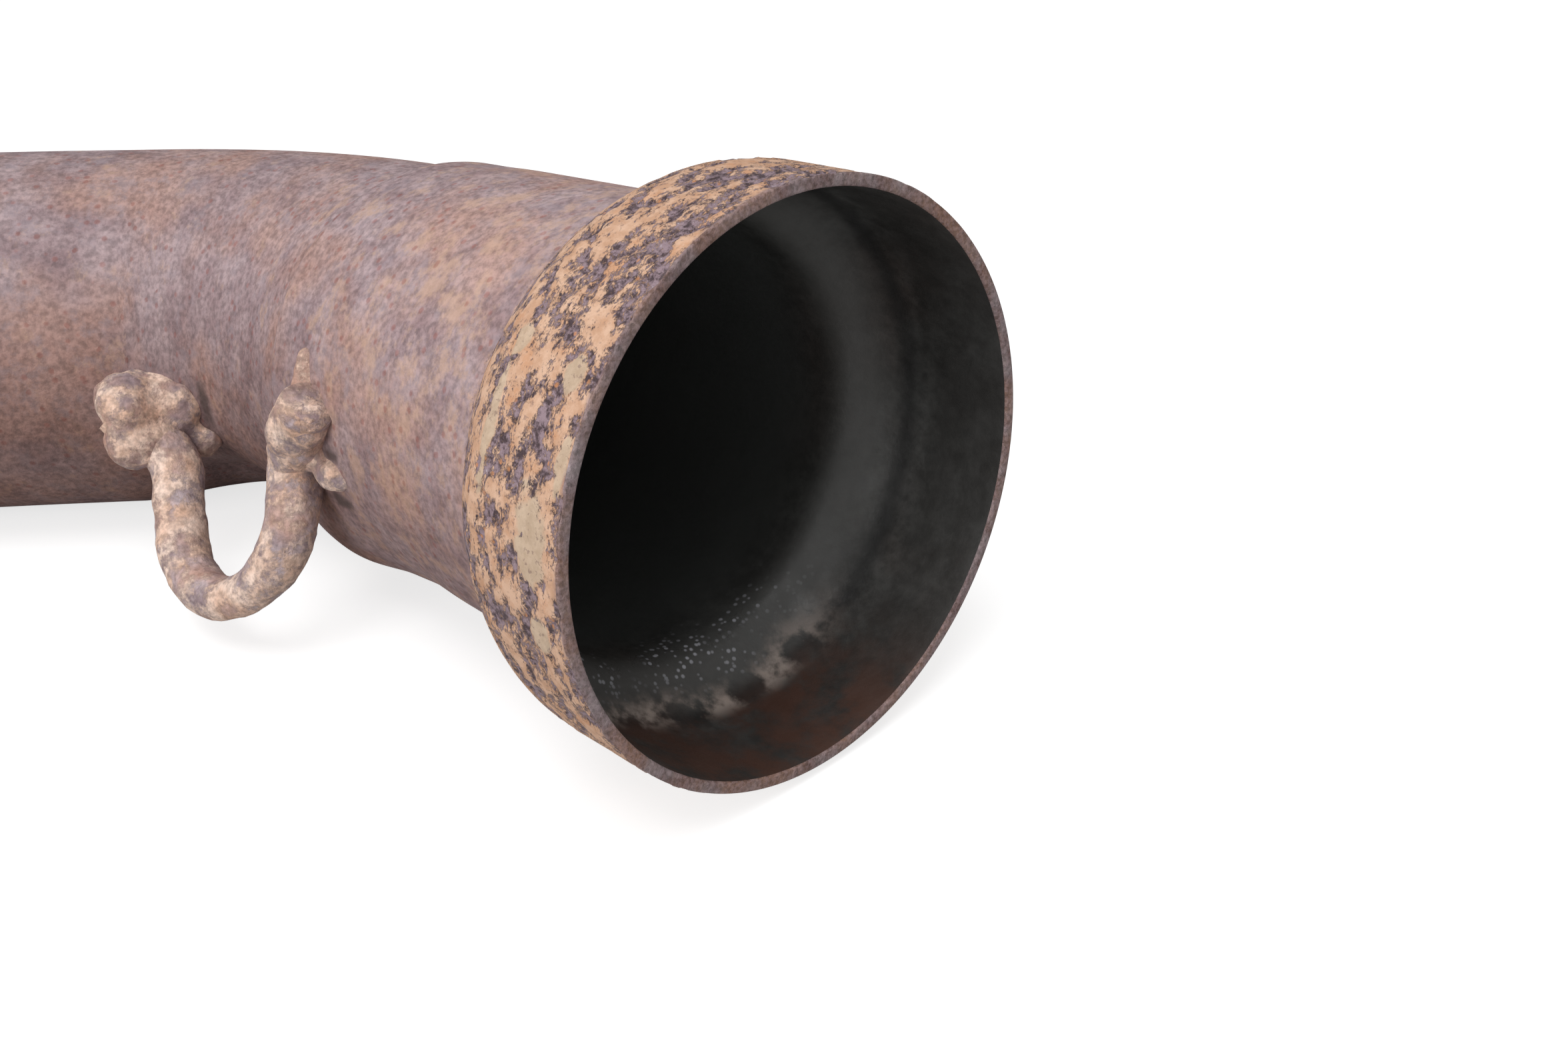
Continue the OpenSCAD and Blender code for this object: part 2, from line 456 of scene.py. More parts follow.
def makeHook():
    legs = hookShape["legs"]
    cornerA, upA, outA = legPath(-1)[1:]
    startB, cornerB, upB, outB = legPath(1)
    trimA = legs[-1]["corner"] * math.tan(math.radians(legs[-1]["bend"] / 2))
    trimB = legs[1]["corner"] * math.tan(math.radians(legs[1]["bend"] / 2))
    endA = cornerA + outA * legs[-1]["foot"]
    addRing(hookShape["sides"], hookShape["rodRadius"], endA, -outA)
    hook = startPiece("hook_rod")
    centre = growStraight(endA, -outA, legs[-1]["foot"] - trimA)
    sweepCorner(centre, -outA, -upA, legs[-1]["corner"], legs[-1]["bend"])
    growStraight(cornerA - upA * trimA, -upA, legs[-1]["leg"] - trimA)
    sweepRing((0, 0, 0), (0, 1, 0), -math.radians(180 - 2 * hookShape["spread"]),
              hookShape["roundSteps"])
    centre = growStraight(startB, upB, legs[1]["leg"] - trimB)
    sweepCorner(centre, upB, outB, legs[1]["corner"], legs[1]["bend"])
    growStraight(cornerB + outB * trimB, outB, legs[1]["foot"] - trimB)
    bpy.ops.mesh.select_all(action="SELECT")
    bpy.ops.mesh.remove_doubles(threshold=0.000005)
    bpy.ops.mesh.select_all(action="DESELECT")
    bpy.ops.mesh.select_non_manifold()
    bpy.ops.mesh.fill_holes(sides=0)
    bpy.ops.mesh.select_all(action="SELECT")
    bpy.ops.mesh.normals_make_consistent(inside=False)
    # the round end is thinner, as if a spring had worn it
    bpy.ops.mesh.select_all(action="DESELECT")
    bpy.ops.object.mode_set(mode="OBJECT")
    for vertex in hook.data.vertices:
        vertex.select = abs(vertex.co.x) < hookShape["wearHalfWidth"] and vertex.co.z < 0
    bpy.ops.object.mode_set(mode="EDIT")
    bpy.ops.transform.shrink_fatten(value=-hookShape["wear"], use_proportional_edit=True,
                                    proportional_edit_falloff="SMOOTH",
                                    proportional_size=hookShape["wearReach"])
    bpy.ops.object.mode_set(mode="OBJECT")
    bpy.ops.object.shade_smooth()
    hook.matrix_world = hookPlace
    bpy.ops.object.transform_apply(location=True, rotation=True, scale=True)
    return hook


hook = makeHook()
print("hook modelled")

# the whole pipe is turned the way that it lies
pickOnly(pipe)
pipe.matrix_world = layDown
bpy.ops.object.transform_apply(location=True, rotation=True, scale=True)


def roughen(piece, size, depth):
    # clouds of bumps, as wide as the size and as high as the depth
    texture = bpy.data.textures.new(piece.name + "Clouds", "CLOUDS")
    texture.noise_scale = size
    applyModifier(piece, "DISPLACE", texture=texture, texture_coords="LOCAL", strength=depth, mid_level=0.5)


for bumpSize, bumpHeight in hookShape["bumps"]:
    roughen(hook, bumpSize, bumpHeight)


# the welds: lumps of weld metal over the feet, and drops of it beside them.
# A drop is its place past the bend's start, its angle round the pipe and its radius
weldShape = {
    "tube_weld_bead": dict(
        side=-1, seed=4, lumps=10, radius=0.0026, start=0.0018, length=0.0052, spread=0.0010, sink=0.0004,
        spatter=[(0.0130, -159, 0.0014), (0.0112, -158, 0.0020), (0.0030, -172, 0.0021),
                 (0.0072, -173, 0.0023), (0.0092, -172, 0.0022), (0.0052, -175, 0.0022),
                 (0.0082, -167, 0.0022), (0.0012, -177, 0.0019), (-0.0012, -177, 0.0017)]),
    "socket_weld_bead": dict(
        side=1, seed=9, lumps=9, radius=0.0022, start=0.0020, length=0.0060, spread=0.0006, sink=0.0004,
        spatter=[(0.0438, 163, 0.0011), (0.0440, 167, 0.0014), (0.0443, 172, 0.0018),
                 (0.0478, -168, 0.0019), (0.0466, -168, 0.0020), (0.0488, -167, 0.0014)])}
weldSkin = dict(voxel=0.00026, smoothing=0.8, smoothSteps=24, bumps=((0.0034, 0.0009), (0.0012, 0.00028)))


def makeWeld(name, values):
    draw = random.Random(values["seed"])
    corner, out = (legPath(values["side"])[k] for k in (1, 3))
    lumps = []
    places = []
    for i in range(values["lumps"]):
        t = i / (values["lumps"] - 1)
        place = corner + out * (values["start"] + values["length"] * t)
        place += Vector([draw.uniform(-1, 1) for k in range(3)]) * values["spread"]
        places.append((hookPlace @ place, values["radius"] * draw.uniform(0.75, 1.15)))
    for past, turn, radius in values["spatter"]:
        skin = tubeRadius if past < bendLength else backRadius
        places.append((layDown @ pipePlace(past, turn, skin - values["sink"]), radius))
    for place, radius in places:
        bpy.ops.object.select_all(action="DESELECT")
        bpy.ops.mesh.primitive_ico_sphere_add(subdivisions=3, radius=radius, location=place)
        lumps.append(bpy.context.object)
    bpy.ops.object.select_all(action="DESELECT")
    for lump in lumps:
        lump.select_set(True)
    bpy.context.view_layer.objects.active = lumps[0]
    bpy.ops.object.join()
    weld = bpy.context.object
    weld.name = name
    weld.data.name = name
    bpy.ops.object.transform_apply(location=True, rotation=True, scale=True)
    applyModifier(weld, "REMESH", mode="VOXEL", voxel_size=weldSkin["voxel"])
    applyModifier(weld, "SMOOTH", factor=weldSkin["smoothing"], iterations=weldSkin["smoothSteps"])
    for bumpSize, bumpHeight in weldSkin["bumps"]:
        roughen(weld, bumpSize, bumpHeight)
    bpy.ops.object.shade_smooth()
    return weld


welds = {name: makeWeld(name, values) for name, values in weldShape.items()}
print("welds modelled")


# the core that the ends of the rod and the welds are cut to: how deep it lies under the
# pipe's skin, how far it runs before and past the bend, and its mesh
cutterShape = dict(inset=wall / 2, before=0.030, past=0.030, swage=0.0015, sides=96, bendSteps=30,
                   sliver=0.00001)


def makeCutter():
    # a round core that stays just under the tube's and the socket's skin
    inset = cutterShape["inset"]
    radius = tubeRadius - inset
    cutStart = runLength - cutterShape["before"]
    addRing(cutterShape["sides"], radius, Vector((cutStart, 0, 0)), Vector((1, 0, 0)))
    cutter = startPiece("cutter")
    growStraight(Vector((cutStart, 0, 0)), Vector((1, 0, 0)), runLength - cutStart)
    sweepRing(bendCentre, (0, 0, 1), -bendAngle, cutterShape["bendSteps"])
    swage = growRing(bendEnd, flatAxis * cutterShape["swage"])
    growRing(swage, Vector((0, 0, 0)), (backRadius - inset) / radius)
    growStraight(swage, flatAxis, cutterShape["past"])
    bpy.ops.mesh.select_all(action="DESELECT")
    bpy.ops.mesh.select_non_manifold()
    bpy.ops.mesh.fill_holes(sides=0)
    bpy.ops.mesh.select_all(action="SELECT")
    bpy.ops.mesh.normals_make_consistent(inside=False)
    bpy.ops.object.mode_set(mode="OBJECT")
    cutter.matrix_world = layDown
    bpy.ops.object.transform_apply(location=True, rotation=True, scale=True)
    return cutter


# the rod and the welds end half a wall deep in the sheet
cutter = makeCutter()
for piece in [hook] + list(welds.values()):
    applyModifier(piece, "BOOLEAN", operation="DIFFERENCE", object=cutter, solver="EXACT")
    # slivers along the cut are merged away
    bpy.ops.object.mode_set(mode="EDIT")
    bpy.ops.mesh.select_all(action="SELECT")
    bpy.ops.mesh.remove_doubles(threshold=cutterShape["sliver"])
    bpy.ops.mesh.dissolve_degenerate(threshold=cutterShape["sliver"])
    bpy.ops.object.mode_set(mode="OBJECT")
bpy.data.objects.remove(cutter)
print("feet cut to the pipe")


# tools for the materials
def addNode(tree, kind, sockets, **settings):
    node = tree.nodes.new(kind)
    for key, value in settings.items():
        setattr(node, key, value)
    for socket, value in sockets.items():
        if isinstance(value, bpy.types.NodeSocket):
            tree.links.new(value, node.inputs[socket])
        else:
            node.inputs[socket].default_value = value
    return node


def calc(tree, operation, a, b, clamp=False):
    return addNode(tree, "ShaderNodeMath", {0: a, 1: b}, operation=operation, use_clamp=clamp).outputs[0]


def swing(tree, value, width):
    # turns a noise from 0 to 1 into one that swings about 0
    return calc(tree, "MULTIPLY", calc(tree, "SUBTRACT", value, 0.5), width)


def blendColour(tree, factor, a, b, mode="MIX"):
    sockets = {0: factor, 6: a, 7: b}
    return addNode(tree, "ShaderNodeMix", sockets, data_type="RGBA", blend_type=mode).outputs[2]


def step(tree, value, low, high, toLow=0.0, toHigh=1.0):
    sockets = {"Value": value, "From Min": low, "From Max": high, "To Min": toLow, "To Max": toHigh}
    return addNode(tree, "ShaderNodeMapRange", sockets, interpolation_type="SMOOTHSTEP").outputs[0]


def noiseValue(tree, vector, scale, detail, roughness):
    sockets = {"Vector": vector, "Scale": scale, "Detail": detail, "Roughness": roughness}
    return addNode(tree, "ShaderNodeTexNoise", sockets).outputs["Fac"]


def mapped(tree, vector, scale=(1, 1, 1), shift=(0, 0, 0)):
    sockets = {"Vector": vector, "Scale": scale, "Location": shift}
    return addNode(tree, "ShaderNodeMapping", sockets).outputs[0]


def readAttribute(tree, name, output="Fac"):
    return addNode(tree, "ShaderNodeAttribute", {}, attribute_name=name).outputs[output]


def colour(red, green, blue):
    return (red, green, blue, 1)


def makeGroup(name, inputs, outputs):
    tree = bpy.data.node_groups.new(name, "ShaderNodeTree")
    kinds = {"v": "NodeSocketVector", "c": "NodeSocketColor", "f": "NodeSocketFloat"}
    for label, kind, value in inputs:
        socket = tree.interface.new_socket(name=label, in_out="INPUT", socket_type=kinds[kind])
        if value is not None:
            socket.default_value = value
    for label, kind in outputs:
        tree.interface.new_socket(name=label, in_out="OUTPUT", socket_type=kinds[kind])
    return tree, tree.nodes.new("NodeGroupInput").outputs, tree.nodes.new("NodeGroupOutput").inputs


def useGroup(tree, group, **sockets):
    named = {key[0].upper() + key[1:]: value for key, value in sockets.items()}
    return addNode(tree, "ShaderNodeGroup", named, node_tree=group).outputs


def makeRustTones():
    # three tones of rust, run together in soft blotches, with a fine grain over them
    tree, given, result = makeGroup(
        "rustTones",
        [("Vector", "v", None), ("Dark", "c", colour(.2, .14, .15)), ("Pale", "c", colour(.4, .3, .3)),
         ("Warm", "c", colour(.4, .22, .16)), ("Blotch", "f", 240.0), ("Grain", "f", 1500.0),
         ("Warmth", "f", 0.5)],
        [("Color", "c"), ("Height", "f")])
    blotch = noiseValue(tree, given["Vector"], given["Blotch"], 6, 0.62)
    drift = noiseValue(tree, mapped(tree, given["Vector"], shift=(.31, .17, .05)),
                       calc(tree, "MULTIPLY", given["Blotch"], 0.45), 3, 0.5)
    grain = noiseValue(tree, given["Vector"], given["Grain"], 3, 0.6)
    tone = blendColour(tree, step(tree, blotch, 0.33, 0.66), given["Dark"], given["Pale"])
    warmMask = calc(tree, "MULTIPLY", step(tree, drift, 0.42, 0.66), given["Warmth"])
    tone = blendColour(tree, warmMask, tone, given["Warm"])
    grained = addNode(tree, "ShaderNodeHueSaturation",
                      {"Color": tone, "Value": step(tree, grain, 0.28, 0.72, 0.70, 1.26)}).outputs[0]
    tree.links.new(grained, result["Color"])
    height = calc(tree, "ADD", calc(tree, "MULTIPLY", grain, 0.5), calc(tree, "MULTIPLY", blotch, 0.5))
    tree.links.new(height, result["Height"])
    return tree


def makeDarkScale():
    # pitted dark scale: purple-black hollows, purple-grey grit and pale glinting grains
    tree, given, result = makeGroup(
        "darkScale",
        [("Vector", "v", None), ("Hollow", "c", colour(.075, .045, .052)),
         ("Grit", "c", colour(.370, .265, .300)), ("Glint", "c", colour(.66, .62, .68)),
         ("Size", "f", 1300.0)],
        [("Color", "c"), ("Height", "f"), ("Glint", "f")])
    coarse = noiseValue(tree, given["Vector"], given["Size"], 5, 0.7)
    fine = noiseValue(tree, given["Vector"], calc(tree, "MULTIPLY", given["Size"], 3.1), 3, 0.6)
    tone = blendColour(tree, step(tree, coarse, 0.40, 0.58), given["Hollow"], given["Grit"])
    glint = step(tree, calc(tree, "MULTIPLY", fine, coarse), 0.36, 0.46)
    tone = blendColour(tree, calc(tree, "MULTIPLY", glint, 0.7), tone, given["Glint"])
    tree.links.new(tone, result["Color"])
    height = calc(tree, "ADD", calc(tree, "MULTIPLY", coarse, 0.7), calc(tree, "MULTIPLY", fine, 0.3))
    tree.links.new(height, result["Height"])
    tree.links.new(glint, result["Glint"])
    return tree


def makeSpecks():
    # scattered small round spots
    tree, given, result = makeGroup(
        "specks", [("Vector", "v", None), ("Size", "f", 900.0), ("Share", "f", 0.12)], [("Mask", "f")])
    cells = addNode(tree, "ShaderNodeTexVoronoi", {"Vector": given["Vector"], "Scale": given["Size"]})
    pick = addNode(tree, "ShaderNodeSeparateColor", {"Color": cells.outputs["Color"]}).outputs[0]
    chosen = calc(tree, "LESS_THAN", pick, given["Share"])
    spot = step(tree, cells.outputs["Distance"], 0.45, 0.20)
    tree.links.new(calc(tree, "MULTIPLY", chosen, spot), result["Mask"])
    return tree


rustTones = makeRustTones()
darkScale = makeDarkScale()
specks = makeSpecks()


def startMaterial(name):
    material = bpy.data.materials.new(name)
    material.use_nodes = True
    tree = material.node_tree
    tree.nodes.clear()
    output = tree.nodes.new("ShaderNodeOutputMaterial")
    surface = tree.nodes.new("ShaderNodeBsdfPrincipled")
    tree.links.new(surface.outputs[0], output.inputs[0])
    return material, tree, surface


def finishSurface(tree, surface, tone, roughness, height, depth):
    bump = addNode(tree, "ShaderNodeBump", {"Height": height, "Distance": depth, "Strength": 1.0})
    tree.links.new(tone, surface.inputs["Base Color"])
    tree.links.new(roughness, surface.inputs["Roughness"])
    tree.links.new(bump.outputs[0], surface.inputs["Normal"])


# rust on the outside of the pipe
tubeRust = dict(
    # the tube and the socket
    dark=colour(.300, .205, .215), pale=colour(.450, .338, .350), warm=colour(.500, .285, .215),
    lilac=colour(.390, .322, .362), mottle=colour(.640, .420, .310), redSpeck=colour(.300, .075, .050),
    # the last two colours are painted shade: a darker underside and shadow beside the hook's feet
    under=colour(.56, .47, .42), stain=colour(.075, .050, .045),
    # the bell's crust and its lip
    tan=colour(.610, .355, .225), paleTan=colour(.770, .505, .355), ruddy=colour(.640, .320, .170),
    khaki=colour(.490, .385, .275), paleKhaki=colour(.650, .520, .385), orange=colour(.780, .330, .130),
    pit=colour(.230, .140, .125), brown=colour(.220, .115, .085), grey=colour(.480, .400, .395),
    edge=colour(.440, .230, .130))


def makeOutsideRust():
    material, tree, surface = startMaterial("outsideRust")
    where = readAttribute(tree, "pipeCoords", "Vector")
    along = addNode(tree, "ShaderNodeSeparateXYZ", {0: where}).outputs[0]
    streaked = mapped(tree, where, (1.7, 1, 1))
    height = addNode(tree, "ShaderNodeSeparateXYZ", {0: where}).outputs[2]
    ragged = swing(tree, noiseValue(tree, where, 330.0, 6, 0.7), 0.016)
    onBell = step(tree, calc(tree, "ADD", along, ragged), neckAt - 0.0005, neckAt + 0.0035)
    nearBell = step(tree, along, runLength + 0.010, neckAt)

    tones = useGroup(tree, rustTones, vector=where, dark=tubeRust["dark"], pale=tubeRust["pale"],
                     warm=tubeRust["warm"], blotch=210.0, grain=1500.0, warmth=0.55)
    tube = tones["Color"]
    lilac = noiseValue(tree, mapped(tree, where, shift=(.7, .2, .4)), 330.0, 6, 0.7)
    lilacMask = calc(tree, "MULTIPLY", step(tree, lilac, 0.50, 0.66), 0.42)
    tube = blendColour(tree, lilacMask, tube, tubeRust["lilac"])
    mottle = noiseValue(tree, mapped(tree, where, (1.25, 1, 1)), 250.0, 8, 0.72)
    mottleMask = step(tree, calc(tree, "ADD", mottle, calc(tree, "MULTIPLY", nearBell, 0.10)), 0.56, 0.72)
    tube = blendColour(tree, calc(tree, "MULTIPLY", mottleMask, 0.60), tube, tubeRust["mottle"])
    redDots = useGroup(tree, specks, vector=where, size=1100.0, share=0.20)["Mask"]
    tube = blendColour(tree, calc(tree, "MULTIPLY", redDots, 0.40), tube, tubeRust["redSpeck"])
    tube = addNode(tree, "ShaderNodeHueSaturation",
                   {"Color": tube, "Value": step(tree, nearBell, 0.0, 1.0, 0.94, 1.04)}).outputs[0]

    # tan crust over dark scale, broken up finely where they meet
    crust = readAttribute(tree, "crust")
    for size, depth in ((700.0, 0.90), (2000.0, 0.95), (5200.0, 0.60)):
        fine = noiseValue(tree, streaked, size, 6, 0.72)
        crust = calc(tree, "ADD", crust, swing(tree, fine, depth))
    # less of it is left near the upper lip
    upperLip = calc(tree, "MULTIPLY", step(tree, along, mouthAt - 0.0085, mouthAt - 0.0025),
                    step(tree, height, 0, 0.014))
    crust = calc(tree, "SUBTRACT", crust, calc(tree, "MULTIPLY", upperLip, 0.05))
    tanMask = step(tree, crust, 0.440, 0.560)
    scale = useGroup(tree, darkScale, vector=where, size=1500.0)
    dots = useGroup(tree, specks, vector=where, size=1700.0, share=0.10)["Mask"]
    dark = blendColour(tree, calc(tree, "MULTIPLY", dots, 0.75), scale["Color"], tubeRust["orange"])
    tanTone = blendColour(tree, step(tree, noiseValue(tree, where, 650.0, 7, 0.68), 0.36, 0.66),
                          tubeRust["tan"], tubeRust["paleTan"])
    ruddy = step(tree, noiseValue(tree, mapped(tree, where, shift=(.5, .6, .1)), 380.0, 6, 0.7), 0.52, 0.66)
    tanTone = blendColour(tree, calc(tree, "MULTIPLY", ruddy, 0.65), tanTone, tubeRust["ruddy"])
    khakiNoise = calc(tree, "MULTIPLY", noiseValue(tree, where, 800.0, 7, 0.75), 1.2)
    khaki = step(tree, calc(tree, "ADD", readAttribute(tree, "khaki"), khakiNoise), 0.80, 1.30)
    khakiTone = blendColour(tree, step(tree, noiseValue(tree, where, 900.0, 6, 0.7), 0.35, 0.65),
                            tubeRust["khaki"], tubeRust["paleKhaki"])
    tanTone = blendColour(tree, calc(tree, "MULTIPLY", khaki, 0.75), tanTone, khakiTone)
    pits = step(tree, noiseValue(tree, where, 2100.0, 4, 0.62), 0.57, 0.65)
    tanTone = blendColour(tree, calc(tree, "MULTIPLY", pits, 0.55), tanTone, tubeRust["pit"])
    bell = blendColour(tree, tanMask, dark, tanTone)

    rimWander = calc(tree, "MULTIPLY", noiseValue(tree, where, 420.0, 4, 0.6), 0.0016)
    rimBand = step(tree, calc(tree, "ADD", along, rimWander), mouthAt + 0.0002, mouthAt + 0.0008)
    rimTone = blendColour(tree, step(tree, noiseValue(tree, where, 260.0, 5, 0.6), 0.4, 0.62),
                          tubeRust["brown"], tubeRust["grey"])
    rimTone = blendColour(tree, 0.5, rimTone, scale["Color"])
    bell = blendColour(tree, calc(tree, "MULTIPLY", rimBand, 0.75), bell, rimTone)
    # painted shade: the underside is darker, and most of all away from the bell
    under = calc(tree, "MULTIPLY", step(tree, height, 0.014, -0.009),
                 step(tree, nearBell, 1.0, 0.0, 0.60, 0.92))
    tube = blendColour(tree, under, tube, blendColour(tree, 1.0, tube, tubeRust["under"], "MULTIPLY"))
    tone = blendColour(tree, onBell, tube, bell)
    # painted shadow beside the hook's feet, in the gaps and hollows by the welds
    stain = calc(tree, "MULTIPLY", readAttribute(tree, "stain"), 0.85)
    tone = blendColour(tree, stain, tone, tubeRust["stain"])

    bellHeight = calc(tree, "ADD", calc(tree, "MULTIPLY", tanMask, 0.5),
                      calc(tree, "MULTIPLY", scale["Height"], step(tree, tanMask, 0.0, 1.0, 1.2, 0.25)))
    relief = addNode(tree, "ShaderNodeMix", {0: onBell, 2: tones["Height"], 3: bellHeight}).outputs[0]
    bellRough = step(tree, tanMask, 0.0, 1.0, 0.55, 0.9)
    rough = addNode(tree, "ShaderNodeMix", {0: onBell, 2: 0.82, 3: bellRough}).outputs[0]
    rough = calc(tree, "SUBTRACT", rough, calc(tree, "MULTIPLY", scale["Glint"], 0.2), clamp=True)
    finishSurface(tree, surface, tone, rough, relief, 0.00028)
    return material


# soot inside
# the throat's colour is painted light, the groove's dark is painted shade, the pale ring is dust with
# painted sheen, and the flecks are painted glints
bore = dict(throatPaintedLight=colour(.085, .088, .085), grooveShade=colour(.020, .020, .020), shade=colour(.034, .032, .030),
            dust=colour(.085, .084, .080), paleDustAndSheen=colour(.135, .134, .128), rust=colour(.085, .042, .030),
            stain=colour(.500, .410, .360), paintedGlint=colour(.86, .86, .94))


def bumpMask(tree, value, middle, halfWidth):
    # 1 at the middle, falling smoothly to 0 at half a width to either side
    rise = step(tree, value, middle - halfWidth, middle)
    fall = step(tree, value, middle + halfWidth, middle)
    return calc(tree, "MULTIPLY", rise, fall)


def makeBoreSoot():
    material, tree, surface = startMaterial("boreSoot")
    where = readAttribute(tree, "pipeCoords", "Vector")
    parts = addNode(tree, "ShaderNodeSeparateXYZ", {0: where}).outputs
    wander = swing(tree, noiseValue(tree, where, 90.0, 3, 0.5), 0.004)
    along = calc(tree, "ADD", parts[0], wander)
    tones = useGroup(tree, rustTones, vector=where, dark=bore["shade"], pale=bore["dust"],
                     warm=bore["rust"], blotch=110.0, grain=900.0, warmth=0.25)
    # a ring of dust and painted sheen over the neck, painted shade in a groove, then shaded sheet out to
    # the mouth
    tone = tones["Color"]
    ring = bumpMask(tree, along, neckAt + 0.0024, 0.0050)
    tone = blendColour(tree, calc(tree, "MULTIPLY", ring, 0.75), tone, bore["paleDustAndSheen"])
    # painted shade of a groove that the mesh does not have
    groove = bumpMask(tree, parts[0], mouthAt - 0.0112, 0.0017)
    tone = blendColour(tree, calc(tree, "MULTIPLY", groove, 0.70), tone, bore["grooveShade"])
    outer = step(tree, along, mouthAt - 0.0105, mouthAt - 0.0065)
    tone = blendColour(tree, calc(tree, "MULTIPLY", outer, 0.60), tone, bore["shade"])
    # rust shows through the soot low down in the bell
    low = step(tree, parts[2], -0.011, -0.0225)
    low = calc(tree, "MULTIPLY", low, step(tree, parts[1], 0.018, 0.006))
    rusty = calc(tree, "MULTIPLY", low, step(tree, along, neckAt + 0.004, neckAt + 0.009))
    rusty = calc(tree, "MULTIPLY", rusty, step(tree, noiseValue(tree, where, 170.0, 5, 0.62), 0.36, 0.60))
    tone = blendColour(tree, rusty, tone, bore["rust"])
    lowRing = calc(tree, "MULTIPLY", bumpMask(tree, along, neckAt + 0.0058, 0.0026), low)
    stainNoise = noiseValue(tree, mapped(tree, where, shift=(.2, .1, .3)), 240.0, 5, 0.6)
    stain = calc(tree, "MULTIPLY", lowRing, step(tree, stainNoise, 0.42, 0.60))
    tone = blendColour(tree, stain, tone, bore["stain"])
    # painted glints: pale flecks low down by the neck, where the bore is wet and smoother
    wet = calc(tree, "MULTIPLY", bumpMask(tree, along, neckAt + 0.0010, 0.0040), low)
    paintedGlints = useGroup(tree, specks, vector=where, size=1700.0, share=0.60)["Mask"]
    paintedGlints = calc(tree, "MULTIPLY", paintedGlints, wet)
    paintedGlints = calc(tree, "MULTIPLY", paintedGlints, step(tree, noiseValue(tree, where, 190.0, 2, 0.5), 0.38, 0.54))
    tone = blendColour(tree, calc(tree, "MULTIPLY", paintedGlints, 0.75), tone, bore["paintedGlint"])
    # painted light: the deep throat gets a lighter colour than the little light reaching it would give
    deep = step(tree, along, neckAt + 0.0012, neckAt - 0.0075)
    tone = blendColour(tree, deep, tone, bore["throatPaintedLight"])
    rough = step(tree, noiseValue(tree, where, 300.0, 4, 0.6), 0.3, 0.7, 0.40, 0.62)
    rough = calc(tree, "SUBTRACT", rough, calc(tree, "MULTIPLY", wet, 0.22), clamp=True)
    finishSurface(tree, surface, tone, rough, tones["Height"], 0.00012)
    return material


# the mouth's bare edge
def makeRimRust():
    material, tree, surface = startMaterial("rimRust")
    where = readAttribute(tree, "pipeCoords", "Vector")
    tones = useGroup(tree, rustTones, vector=where, dark=tubeRust["brown"], pale=tubeRust["grey"],
                     warm=tubeRust["edge"], blotch=330.0, grain=2600.0, warmth=0.8)
    scale = useGroup(tree, darkScale, vector=where, size=2200.0)
    tone = blendColour(tree, 0.45, tones["Color"], scale["Color"])
    rough = step(tree, scale["Height"], 0.3, 0.7, 0.45, 0.8)
    finishSurface(tree, surface, tone, rough, scale["Height"], 0.00030)
    return material


# rust on the hook and its welds
rodRust = dict(tan=colour(.700, .480, .370), paleTan=colour(.840, .650, .550),
               orange=colour(.660, .350, .210), purple=colour(.300, .215, .225),
               grey=colour(.520, .420, .440))


def makeRodRust(name, share, size):
    material, tree, surface = startMaterial(name)
    where = addNode(tree, "ShaderNodeTexCoord", {}).outputs["Object"]
    crusted = noiseValue(tree, where, size, 8, 0.70)
    tanMask = step(tree, crusted, share, share + 0.14)
    purple = useGroup(tree, rustTones, vector=where, dark=rodRust["purple"], pale=rodRust["grey"],
                      warm=rodRust["orange"], blotch=420.0, grain=1800.0, warmth=0.5)
    tanTone = useGroup(tree, rustTones, vector=where, dark=rodRust["tan"], pale=rodRust["paleTan"],
                       warm=rodRust["orange"], blotch=380.0, grain=2000.0, warmth=0.35)
    tone = blendColour(tree, tanMask, purple["Color"], tanTone["Color"])
    height = calc(tree, "ADD", calc(tree, "MULTIPLY", tanMask, 0.4), purple["Height"])
    rough = step(tree, tanMask, 0.0, 1.0, 0.65, 0.9)
    finishSurface(tree, surface, tone, rough, height, 0.00020)
    return material


for slotIndex, material in enumerate((makeOutsideRust(), makeRimRust(), makeBoreSoot())):
    pipe.data.materials[slotIndex] = material
hook.data.materials.append(makeRodRust("rodRust", 0.41, 330.0))
weldRust = makeRodRust("weldRust", 0.42, 420.0)
for weld in welds.values():
    weld.data.materials.append(weldRust)
print("materials made")


# what each piece stands for
standsFor = {"rusty_pipe": ("pipe", "rusted_tube"),
             "hook_rod": ("spring_hook", "rusted_rod"),
             "tube_weld_bead": ("tube_weld", "rusted_weld"),
             "socket_weld_bead": ("socket_weld", "rusted_weld")}
for name, (node, slotName) in standsFor.items():
    piece = bpy.data.objects[name]
    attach(piece, "root")
    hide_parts(node)


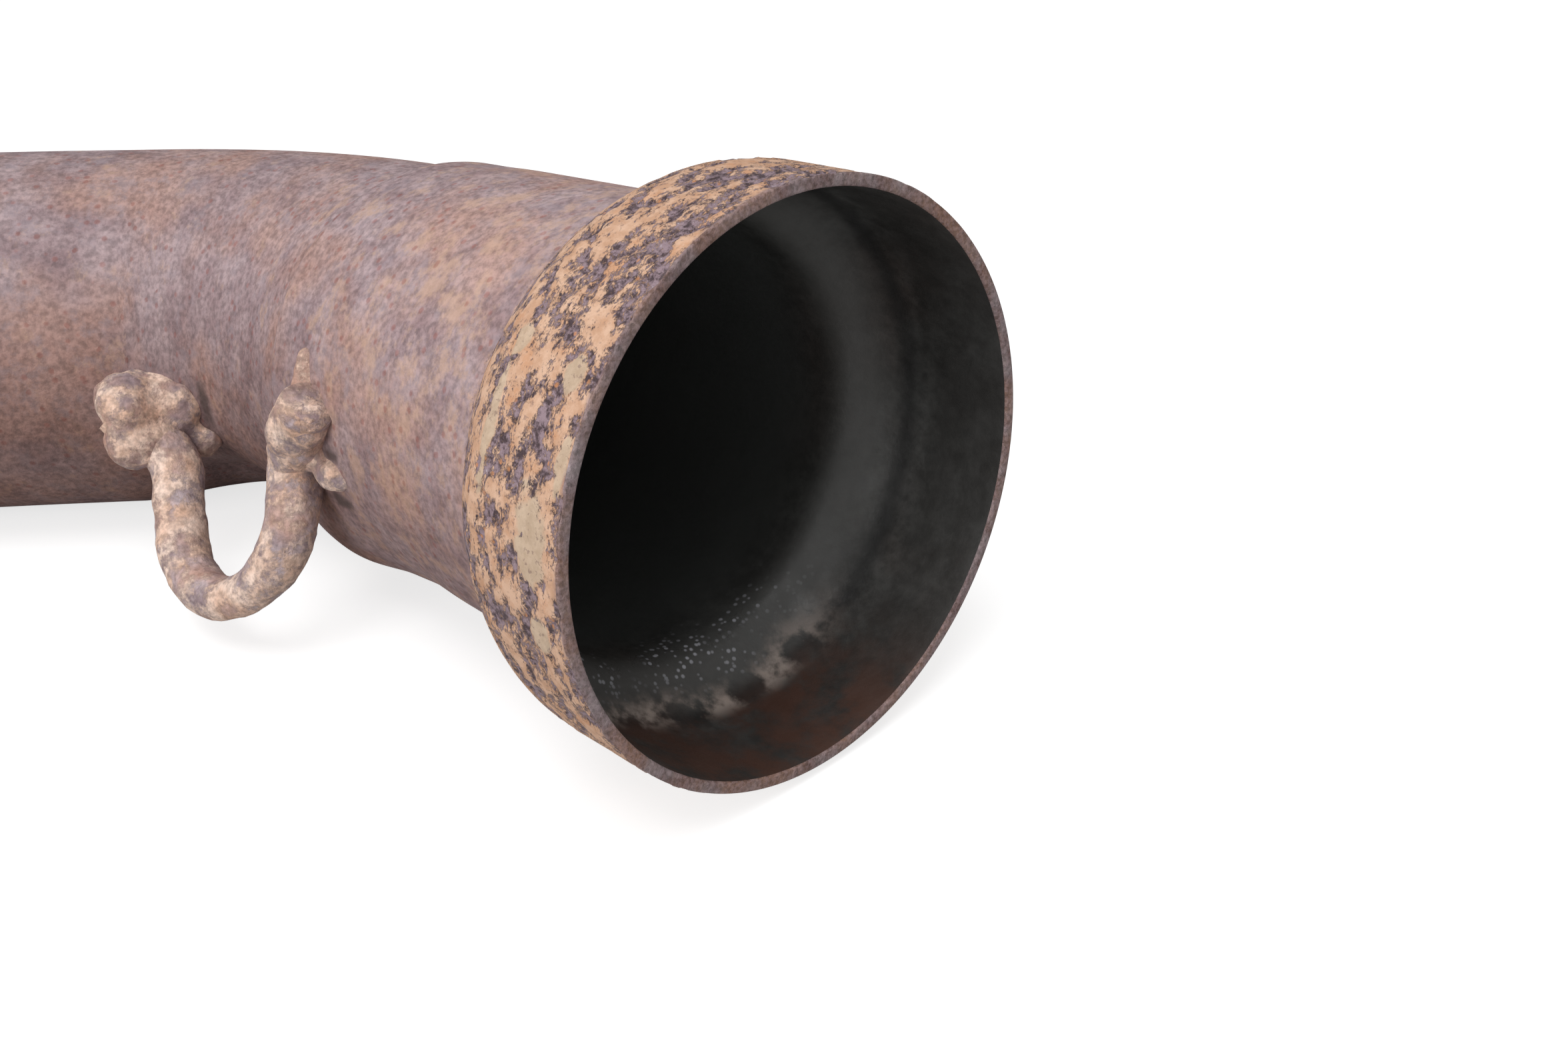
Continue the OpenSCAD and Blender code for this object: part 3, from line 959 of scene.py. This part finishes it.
# floor, light and camera
studio = dict(floorColour=colour(.55, .55, .55), floorLift=0.72, world=0.36, lampAim=(0.34, -0.03, 0),
              camera=dict(place=(0.35127, -0.15809, 0.06333), turn=(59.976, -0.941, -7.376), lens=33.67),
              key=dict(energy=2.9, size=0.45, place=(0.22, -0.26, 0.72)),
              fill=dict(energy=1.5, size=0.35, place=(-0.10, -0.50, 0.24)))


def addLamp(name, values):
    bpy.ops.object.light_add(type="AREA", location=values["place"])
    lamp = bpy.context.object
    lamp.name = name
    lamp.data.energy = values["energy"]
    lamp.data.size = values["size"]
    aim = Vector(studio["lampAim"]) - Vector(values["place"])
    lamp.rotation_euler = aim.to_track_quat("-Z", "Y").to_euler()


def makeFloor():
    bpy.ops.object.select_all(action="DESELECT")
    bpy.ops.mesh.primitive_plane_add(size=6, location=(0.3, 0, floorHeight))
    floor = bpy.context.object
    floor.name = "studio_floor"
    material, tree, surface = startMaterial("paleFloor")
    surface.inputs["Base Color"].default_value = studio["floorColour"]
    surface.inputs["Roughness"].default_value = 0.9
    surface.inputs["Specular IOR Level"].default_value = 0.1
    surface.inputs["Emission Color"].default_value = colour(1, 1, 1)
    seen = tree.nodes.new("ShaderNodeLightPath").outputs["Is Camera Ray"]
    tree.links.new(calc(tree, "MULTIPLY", seen, studio["floorLift"]), surface.inputs["Emission Strength"])
    floor.data.materials.append(material)


def makeWorld():
    world = bpy.data.worlds.new("studioWorld")
    bpy.context.scene.world = world
    world.use_nodes = True
    tree = world.node_tree
    path = tree.nodes.new("ShaderNodeLightPath").outputs
    seen = calc(tree, "MAXIMUM", path["Is Camera Ray"], path["Is Transmission Ray"])
    strength = addNode(tree, "ShaderNodeMix", {0: seen, 2: studio["world"], 3: 1.0}).outputs[0]
    background = tree.nodes["Background"]
    background.inputs["Color"].default_value = colour(1, 1, 1)
    tree.links.new(strength, background.inputs["Strength"])


def addCamera(values):
    bpy.ops.object.camera_add(location=values["place"], rotation=[math.radians(a) for a in values["turn"]])
    camera = bpy.context.object
    camera.data.sensor_width = 36
    camera.data.lens = values["lens"]
    camera.data.clip_start = 0.01
    bpy.context.scene.camera = camera


makeFloor()
makeWorld()
addLamp("keyLamp", studio["key"])
addLamp("fillLamp", studio["fill"])
addCamera(studio["camera"])
bpy.context.scene.view_settings.view_transform = "Standard"
print("stage set")
